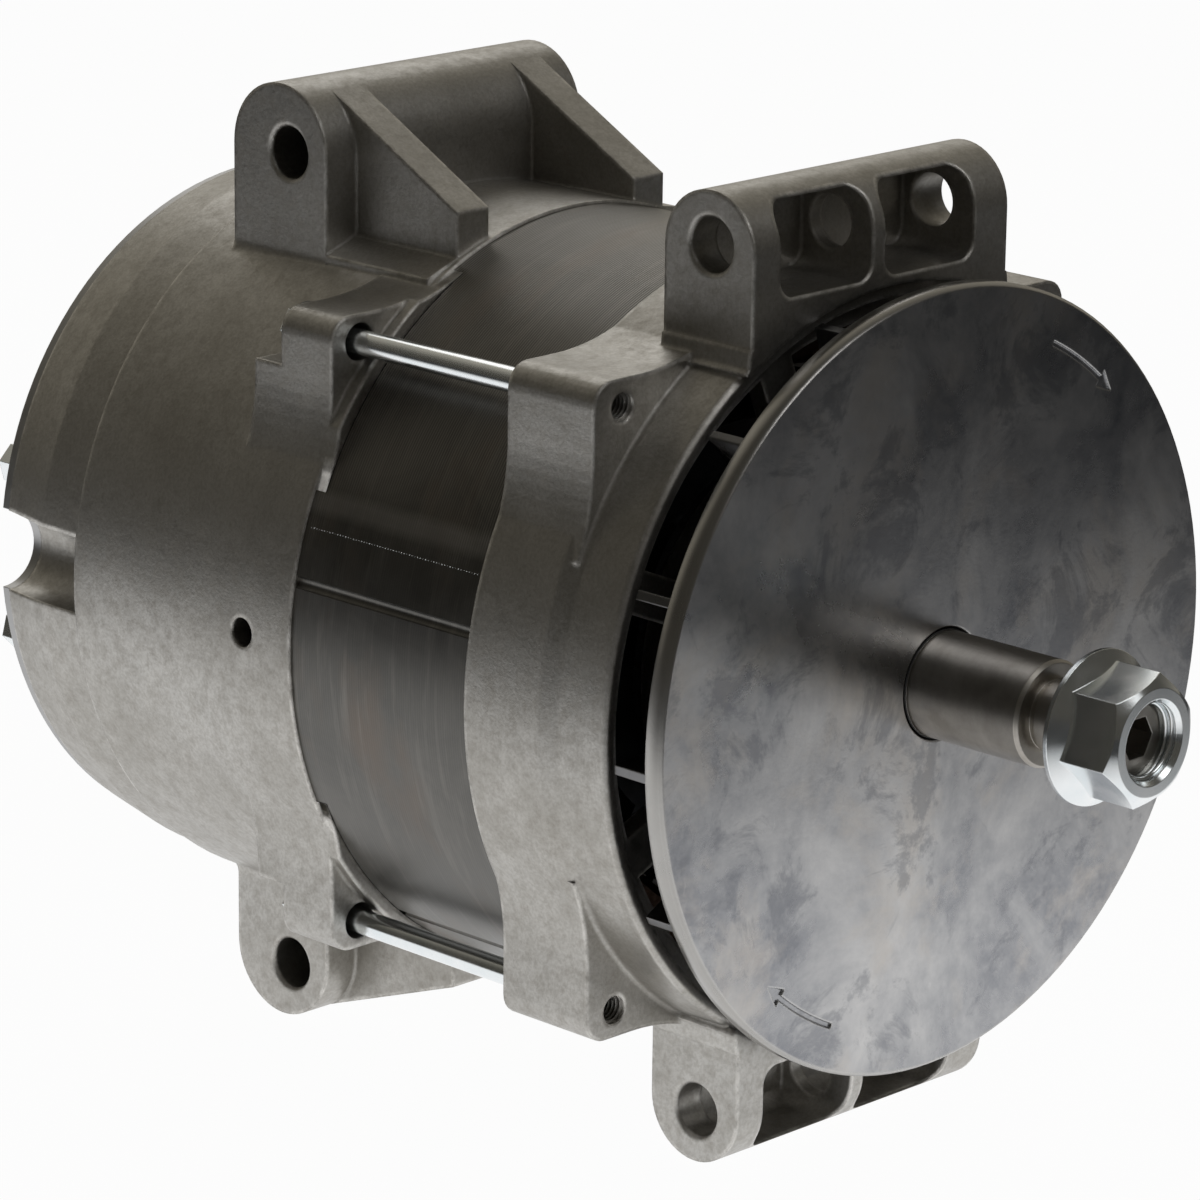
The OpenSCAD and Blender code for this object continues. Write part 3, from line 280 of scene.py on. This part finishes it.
def fan_steel():
    """Stamped steel: smoky grey scale, dark clouds, warm stains, scuffs, a turned rim and dark blades."""
    g = Graph("fan_steel")
    v = g.coords()
    x, y, z = g.axes(v)
    clouds = g.noise(v, 26, 7, 0.64, 0.35)
    fine = g.noise(v, 260, 5, 0.65)
    warm = g.noise(v, 34, 6, 0.68, 0.4)
    smoke = g.noise(v, 44, 7, 0.72, 0.6)
    scuff = g.noise(g.scaled(v, (420, 60, 130)), 1.0, 5, 0.7, 0.3)
    base = g.mix(g.ramp(clouds, 0.32, 0.66), rgb(0.225, 0.235, 0.26), rgb(0.61, 0.605, 0.603))
    base = g.layer(base, g.ramp(warm, 0.5, 0.64), 0.55, rgb(0.56, 0.525, 0.485))
    base = g.layer(base, g.ramp(fine, 0.45, 0.7), 0.25, rgb(0.62, 0.615, 0.61))
    base = g.layer(base, g.ramp(smoke, 0.52, 0.6), 0.5, rgb(0.185, 0.192, 0.215))
    base = g.layer(base, g.ramp(scuff, 0.66, 0.74), 0.35, rgb(0.72, 0.71, 0.7))
    radius = g.math("SQRT", g.plus(g.times(x, x), g.times(z, z)))
    base = g.layer(base, g.ramp(radius, RIM_BAND_R, RIM_BAND_R + 0.6 * MM), 0.85, rgb(0.42, 0.41, 0.39))
    # Painted highlight along the convex edges
    base = g.layer(base, g.corners(0.5 * MM), 0.5, rgb(0.75, 0.74, 0.72))
    base = g.layer(base, g.ramp(y, FAN_BACK, FAN_BACK + 0.5 * MM), 0.8, rgb(0.13, 0.13, 0.135))
    height = g.plus(fine, g.noise(v, 1100, 3))
    normal = g.bump(height, 0.14, 0.1 * MM, g.rounded(0.5 * MM))
    return g.surface(base, g.ramp(clouds, 0.3, 0.7, 0.25, 0.32), 0.97, normal)


def ground_steel():
    """Ground shaft: dark oiled steel with fine rings round it."""
    g = Graph("ground_steel")
    v = g.coords()
    rings = g.noise(g.scaled(v, (40, 3800, 40)), 1.0, 3, 0.6)
    stains = g.noise(v, 160, 5, 0.6)
    rounded = g.rounded(0.3 * MM)
    base = g.mix(g.ramp(stains, 0.3, 0.7), rgb(0.32, 0.3, 0.27), rgb(0.46, 0.435, 0.4))
    # Painted highlight on the edges
    base = g.layer(base, g.edges(rounded), 0.6, rgb(0.6, 0.58, 0.55))
    normal = g.bump(rings, 0.12, 0.05 * MM, rounded)
    return g.surface(base, g.ramp(rings, 0.3, 0.7, 0.3, 0.42), 1.0, normal)


def zinc_steel():
    """Bright zinc plate with a cold tint."""
    g = Graph("zinc_steel")
    v = g.coords()
    soft = g.noise(v, 140, 4)
    rounded = g.rounded(0.3 * MM)
    base = g.mix(g.ramp(soft, 0.3, 0.7), rgb(0.8, 0.85, 0.87), rgb(0.92, 0.94, 0.95))
    # Painted highlight on the edges
    base = g.layer(base, g.edges(rounded), 0.5, rgb(0.9, 0.92, 0.93))
    normal = g.bump(g.noise(v, 900, 3), 0.06, 0.05 * MM, rounded)
    return g.surface(base, g.ramp(soft, 0.3, 0.7, 0.13, 0.22), 0.96, normal)


def plain_metal(name, dark, light, rough, metal=1.0):
    """A metal between two shades, with a painted highlight on its edges."""
    g = Graph(name)
    v = g.coords()
    patches = g.noise(v, 120, 5, 0.6)
    rounded = g.rounded(0.3 * MM)
    base = g.mix(g.ramp(patches, 0.3, 0.7), dark, light)
    # Painted highlight on the edges
    base = g.layer(base, g.edges(rounded), 0.35, rgb(*[min(1.0, c * 1.5) for c in light[:3]]))
    normal = g.bump(g.noise(v, 1200, 3), 0.12, 0.06 * MM, rounded)
    return g.surface(base, g.ramp(patches, 0.3, 0.7, rough - 0.05, rough + 0.06), metal, normal)


def copper_wire():
    """Enamelled copper turns, laid side by side."""
    g = Graph("copper")
    v = g.coords()
    turns = g.noise(g.scaled(v, (900, 900, 900)), 1.0, 2, 0.5)
    patches = g.noise(v, 200, 4)
    base = g.mix(g.ramp(patches, 0.3, 0.7), rgb(0.045, 0.024, 0.014), rgb(0.09, 0.045, 0.025))
    return g.surface(base, 0.35, 0.8, g.bump(turns, 0.4, 0.3 * MM))


def moulding():
    """Dull black plastic."""
    g = Graph("moulding")
    v = g.coords()
    fine = g.noise(v, 900, 3, 0.6)
    rounded = g.rounded(0.4 * MM)
    base = g.mix(g.ramp(g.noise(v, 60, 4), 0.3, 0.7), rgb(0.022, 0.022, 0.023), rgb(0.04, 0.04, 0.042))
    # Painted highlight on the edges
    base = g.layer(base, g.edges(rounded), 0.4, rgb(0.09, 0.09, 0.092))
    normal = g.bump(fine, 0.15, 0.08 * MM, rounded)
    return g.surface(base, g.ramp(fine, 0.3, 0.7, 0.48, 0.6), 0.0, normal)


MATERIALS = {
    "cast_aluminium": cast_aluminium(),
    "laminations": laminations(),
    "copper": copper_wire(),
    "zinc_steel": zinc_steel(),
    "fan_steel": fan_steel(),
    "ground_steel": ground_steel(),
    "bearing_steel": plain_metal("bearing_steel", rgb(0.5, 0.51, 0.53), rgb(0.62, 0.63, 0.65), 0.2),
    "cage_brass": plain_metal("cage_brass", rgb(0.5, 0.34, 0.1), rgb(0.6, 0.44, 0.17), 0.35),
    "rotor_steel": plain_metal("rotor_steel", rgb(0.06, 0.06, 0.065), rgb(0.12, 0.12, 0.125), 0.5, 0.85),
    "plate_aluminium": plain_metal("plate_aluminium", rgb(0.4, 0.4, 0.4), rgb(0.52, 0.52, 0.52), 0.42),
    "moulding": moulding(),
    "carbon": plain_metal("carbon", rgb(0.02, 0.02, 0.02), rgb(0.05, 0.05, 0.05), 0.55, 0.2),
    "stud_brass": plain_metal("stud_brass", rgb(0.52, 0.38, 0.15), rgb(0.64, 0.49, 0.22), 0.3),
}

for part in frame["record"]["subparts"]:
    node_mesh = NODES[part["node"]].data
    node_mesh.materials.clear()
    node_mesh.materials.append(MATERIALS[part["material_slot"]])


# Detail pieces, in millimetres and degrees

# Sideways place of the through bolts from the shaft's axis
BOLT_AT = 62.225
CORE_R = 81.4
# Turns about the shaft of the core's filled groove and of its row of weld beads
FILL_TURN = 109.4
SEAM_TURN = 161.2
SEAM_START = 55.2
SEAM_PITCH = 0.78
SEAM_BEADS = 63
BEAD_SIZE = 0.16
BEAD_UNEVEN = 0.05
BEAD_HEIGHT = 0.08
# Rotation arrows: mean radius, half the shaft's width, reach of the barbs, start, end, tip and depth
ARROW_R = 72.4
ARROW_HALF = 0.6
ARROW_BARB = 2.0
ARROW_FROM = 64.6
ARROW_TO = 50.2
ARROW_TIP = 46.4
ARROW_DEPTH = 0.45
ARROW_DRAFT = 0.12
ARROW_STEPS = 12


def closed_mesh(name, verts, faces):
    """A mesh with its faces turned outward, given in millimetres."""
    mesh = bpy.data.meshes.new(name)
    mesh.from_pydata([[c * MM for c in p] for p in verts], [], faces)
    bm = bmesh.new()
    bm.from_mesh(mesh)
    bmesh.ops.recalc_face_normals(bm, faces=bm.faces)
    bm.to_mesh(mesh)
    bm.free()
    return mesh


def add_piece(name, verts, faces, body, slot, smooth=True):
    """A piece that rides a body and is finished from a slot."""
    mesh = closed_mesh(name, verts, faces)
    for poly in mesh.polygons:
        poly.use_smooth = smooth
    mesh.materials.append(MATERIALS[slot])
    piece = bpy.data.objects.new(name, mesh)
    bpy.context.scene.collection.objects.link(piece)
    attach(piece, body)


def sweep(rings):
    """One closed skin through rings of points that match in number."""
    count = len(rings[0])
    verts = [p for ring in rings for p in ring]
    faces = []
    for i in range(len(rings) - 1):
        for j in range(count):
            k = (j + 1) % count
            faces.append((i * count + j, i * count + k, (i + 1) * count + k, (i + 1) * count + j))
    faces.append(tuple(range(count)))
    last = (len(rings) - 1) * count
    faces.append(tuple(range(last + count - 1, last - 1, -1)))
    return verts, faces


def join(parts):
    """Several closed skins as one list of points and one of faces."""
    verts, faces = [], []
    for v, f in parts:
        base = len(verts)
        verts.extend(v)
        faces.extend([tuple(base + i for i in face) for face in f])
    return verts, faces


def inner_thread(root, crest, start, end, pitch, x=0.0, z=0.0, steps=32):
    """A right-hand ridge inside a hole along Y, from start to end, fading in and out at its ends."""
    total = int((end - start) / pitch * steps)
    fade_steps = 0.3 * steps
    sink = 0.04
    foot = 0.46 * pitch
    flat = 0.1 * pitch
    rings = []
    for i in range(total + 1):
        a = 2 * math.pi * i / steps
        y = start + pitch * i / steps
        fade = min(1.0, i / fade_steps, (total - i) / fade_steps)
        top = root - (root - crest) * max(fade, 0.05)
        profile = ((root + sink, -foot), (top, -flat), (top, flat), (root + sink, foot))
        rings.append([(x + r * math.sin(a), y + dy, z + r * math.cos(a)) for r, dy in profile])
    return sweep(rings)


def washer(inner, outer, start, end, steps=96):
    """A flat ring about the shaft's axis."""
    verts, faces = [], []
    section = ((inner, start), (outer, start), (outer, end), (inner, end))
    for i in range(steps):
        a = 2 * math.pi * i / steps
        verts.extend([(r * math.cos(a), y, r * math.sin(a)) for r, y in section])
        k = (i + 1) % steps
        for j in range(4):
            n = (j + 1) % 4
            faces.append((4 * i + j, 4 * i + n, 4 * k + n, 4 * k + j))
    return verts, faces


def groove_fill(turn, groove=1.45, out=0.65, start=54.25, end=105.15):
    """A ground weld that fills one round groove of the core flush with its laminations."""
    proud = 0.004
    overlap = 0.02
    half = math.sqrt(groove ** 2 - out ** 2)
    section = []
    for i in range(7):
        a = half * (1 - i / 3) / CORE_R
        section.append((CORE_R * math.cos(turn + a) + proud * math.cos(turn),
                        CORE_R * math.sin(turn + a) + proud * math.sin(turn)))
    foot = math.atan2(half, -out)
    for i in range(9):
        a = -foot + (2 * foot - 2 * math.pi) * i / 8
        away = CORE_R + out + (groove + overlap) * math.cos(a)
        along = (groove + overlap) * math.sin(a)
        section.append((away * math.cos(turn) - along * math.sin(turn),
                        away * math.sin(turn) + along * math.cos(turn)))
    return sweep([[(px, y, pz) for px, pz in section] for y in (start, end)])


def bead(turn, y, size, height, sides=6):
    """A small flat dome on the core's skin."""
    out = (math.cos(turn), math.sin(turn))
    side = (-math.sin(turn), math.cos(turn))
    rings = []
    for share, rise in ((1.0, -0.03), (0.8, 0.55 * height), (0.35, height)):
        ring = []
        for k in range(sides):
            a = 2 * math.pi * k / sides
            u = size * share * math.cos(a)
            w = size * share * math.sin(a)
            r = CORE_R + rise
            ring.append((r * out[0] + u * side[0], y + w, r * out[1] + u * side[1]))
        rings.append(ring)
    return sweep(rings)


def arrow(turn):
    """A curved arrow to cut into the fan's face, with drafted sides."""
    outline = []
    for i in range(ARROW_STEPS + 1):
        outline.append((ARROW_R + ARROW_HALF, ARROW_FROM + (ARROW_TO - ARROW_FROM) * i / ARROW_STEPS))
    outline.append((ARROW_R + ARROW_BARB, ARROW_TO))
    outline.append((ARROW_R, ARROW_TIP))
    outline.append((ARROW_R - ARROW_BARB, ARROW_TO))
    for i in range(ARROW_STEPS + 1):
        outline.append((ARROW_R - ARROW_HALF, ARROW_TO + (ARROW_FROM - ARROW_TO) * i / ARROW_STEPS))
    rings = []
    for y, grow in ((ARROW_DEPTH, -ARROW_DRAFT), (-0.5, ARROW_DRAFT)):
        ring = []
        for r, degrees in outline:
            a = math.radians(degrees + turn)
            r += grow if r > ARROW_R else -grow if r < ARROW_R else 0
            ring.append((r * math.cos(a), y, r * math.sin(a)))
        rings.append(ring)
    return sweep(rings)


def engraved_fan():
    """The fan with two stamped rotation arrows, which stands for the plain CAD fan."""
    mesh = NODES["fan"].data.copy()
    mesh.name = "fan_stamped"
    fan = bpy.data.objects.new("fan_stamped", mesh)
    bpy.context.scene.collection.objects.link(fan)
    bm = bmesh.new()
    bm.from_mesh(mesh)
    bmesh.ops.remove_doubles(bm, verts=bm.verts, dist=1e-6)
    bm.to_mesh(mesh)
    bm.free()
    cutters = []
    for turn in (0, 180):
        cutter = bpy.data.objects.new("arrow_cutter", closed_mesh("arrow_cutter", *arrow(turn)))
        bpy.context.scene.collection.objects.link(cutter)
        cut = fan.modifiers.new("arrow", "BOOLEAN")
        cut.operation = "DIFFERENCE"
        cut.solver = "EXACT"
        cut.object = cutter
        cutters.append(cutter)
    deps = bpy.context.evaluated_depsgraph_get()
    done = bpy.data.meshes.new_from_object(fan.evaluated_get(deps))
    fan.modifiers.clear()
    fan.data = done
    for cutter in cutters:
        bpy.data.objects.remove(cutter)
    done.materials.clear()
    done.materials.append(MATERIALS["fan_steel"])
    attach(fan, "rotor")
    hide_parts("fan")


nut_ridge = inner_thread(root=7.96, crest=7.15, start=-53.3, end=-51.1, pitch=1.41, steps=64)
add_piece("nut_thread", *nut_ridge, "rotor", "zinc_steel")
# Painted shadow: a thin dark ring standing for the shade in the gap round the shaft
add_piece("painted_gap_shadow", *washer(inner=11.05, outer=11.3, start=-0.03, end=0.6), "rotor", "carbon")
bolts = [(side_x * BOLT_AT, side_z * BOLT_AT) for side_x in (-1, 1) for side_z in (-1, 1)]
threads = [inner_thread(root=3.0, crest=2.5, start=31.2, end=35.8, pitch=1.0, x=x, z=z) for x, z in bolts]
add_piece("ear_threads", *join(threads), "housing", "cast_aluminium")
fill = groove_fill(math.radians(FILL_TURN))
add_piece("core_weld_fill", *fill, "housing", "laminations", smooth=False)
seam = []
for i in range(SEAM_BEADS):
    size = BEAD_SIZE + BEAD_UNEVEN * math.sin(2.1 * i)
    seam.append(bead(math.radians(SEAM_TURN), SEAM_START + SEAM_PITCH * i, size, BEAD_HEIGHT))
add_piece("core_seam", *join(seam), "housing", "zinc_steel")
engraved_fan()


# Stage and light, in metres

# Where mirrored floor goes from dim to white: left of the object, right, in front and behind
POOL_LEFT = (-0.75, -0.24)
POOL_RIGHT = (0.45, 0.12)
POOL_FRONT = (-0.34, -0.12)
POOL_BACK = (0.68, 0.4)
FLOOR_GLOW = 0.97
FAR_MIRRORED = 0.035
FLOOR_HALF = 8.0
FLOOR_GAP = 0.0002
# The pale backdrop that lights the object from behind, in a dim warm room
BACKDROP_SIDE = (0.54, 0.79, 0.29)
BACKDROP_FROM, BACKDROP_TO = 0.2, 0.98
BACKDROP_LEVEL = 0.38
ROOM_LEVEL = 0.055
ROOM_TINT = rgb(1.0, 0.93, 0.78)
WHITE = rgb(1.0, 1.0, 1.0)


def floor_material():
    """Plain pale floor, which metal mirrors white near the object and dim further off."""
    g = Graph("floor")
    x, y, _ = g.axes(g.coords())
    near = g.times(g.ramp(x, *POOL_LEFT), g.ramp(x, *POOL_RIGHT))
    near = g.times(near, g.times(g.ramp(y, *POOL_FRONT), g.ramp(y, *POOL_BACK)))
    path = g.node("ShaderNodeLightPath")
    camera, glossy = path.outputs["Is Camera Ray"], path.outputs["Is Glossy Ray"]
    mirrored = g.math("ADD", glossy, path.outputs["Is Transmission Ray"], clamp=True)
    seen = g.math("ADD", camera, mirrored, clamp=True)
    level = g.math("MULTIPLY_ADD", near, 1.0 - FAR_MIRRORED, FAR_MIRRORED)
    diffuse = g.node("ShaderNodeBsdfDiffuse")
    diffuse.inputs["Color"].default_value = rgb(0.9, 0.9, 0.9)
    white = g.node("ShaderNodeEmission")
    g.put(white.inputs["Strength"], g.math("MAXIMUM", level, camera))
    both = g.node("ShaderNodeMixShader")
    g.put(both.inputs[0], g.times(seen, FLOOR_GLOW))
    g.link(diffuse.outputs[0], both.inputs[1])
    g.link(white.outputs[0], both.inputs[2])
    g.link(both.outputs[0], g.out.inputs["Surface"])
    return g.mat


def add_floor(height):
    """A wide flat square just under the object."""
    mesh = bpy.data.meshes.new("floor")
    s = FLOOR_HALF
    verts = [(-s, -s, height), (s, -s, height), (s, s, height), (-s, s, height)]
    mesh.from_pydata(verts, [], [(0, 1, 2, 3)])
    floor = bpy.data.objects.new("floor", mesh)
    bpy.context.scene.collection.objects.link(floor)
    mesh.materials.append(floor_material())


def add_world():
    """A white background, with the backdrop and the room for light and reflections."""
    world = bpy.data.worlds.new("studio")
    bpy.context.scene.world = world
    world.use_nodes = True
    nodes, links = world.node_tree.nodes, world.node_tree.links
    nodes.clear()
    out = nodes.new("ShaderNodeOutputWorld")
    coords = nodes.new("ShaderNodeTexCoord")
    toward = nodes.new("ShaderNodeVectorMath")
    toward.operation = "DOT_PRODUCT"
    toward.inputs[1].default_value = BACKDROP_SIDE
    links.new(coords.outputs["Generated"], toward.inputs[0])
    spread = nodes.new("ShaderNodeMapRange")
    spread.interpolation_type = "SMOOTHSTEP"
    links.new(toward.outputs["Value"], spread.inputs["Value"])
    spread.inputs["From Min"].default_value = BACKDROP_FROM
    spread.inputs["From Max"].default_value = BACKDROP_TO
    spread.inputs["To Min"].default_value = ROOM_LEVEL
    spread.inputs["To Max"].default_value = BACKDROP_LEVEL
    room = nodes.new("ShaderNodeBackground")
    room.inputs[0].default_value = ROOM_TINT
    links.new(spread.outputs["Result"], room.inputs[1])
    white = nodes.new("ShaderNodeBackground")
    white.inputs[0].default_value = WHITE
    path = nodes.new("ShaderNodeLightPath")
    both = nodes.new("ShaderNodeMixShader")
    links.new(path.outputs["Is Camera Ray"], both.inputs[0])
    links.new(room.outputs[0], both.inputs[1])
    links.new(white.outputs[0], both.inputs[2])
    links.new(both.outputs[0], out.inputs["Surface"])


def add_light(name, place, target, size, power, spread):
    """A soft rectangular lamp; size in metres, power in watts, spread in degrees."""
    data = bpy.data.lights.new(name, "AREA")
    data.shape = "RECTANGLE"
    data.size, data.size_y = size
    data.energy = power
    data.spread = math.radians(spread)
    light = bpy.data.objects.new(name, data)
    light.location = place
    light.rotation_euler = (Vector(target) - Vector(place)).to_track_quat("-Z", "Y").to_euler()
    bpy.context.scene.collection.objects.link(light)


add_floor(CAD_BOX[0][2] - FLOOR_GAP)
add_world()
add_light("softbox_back", (0.6, 0.9, 0.75), (0.05, 0.1, 0), (0.8, 0.6), power=0.6, spread=120)
add_light("softbox_front", (0.12, -0.8, 0.9), (0, -0.02, 0), (0.7, 0.7), power=0.3, spread=50)
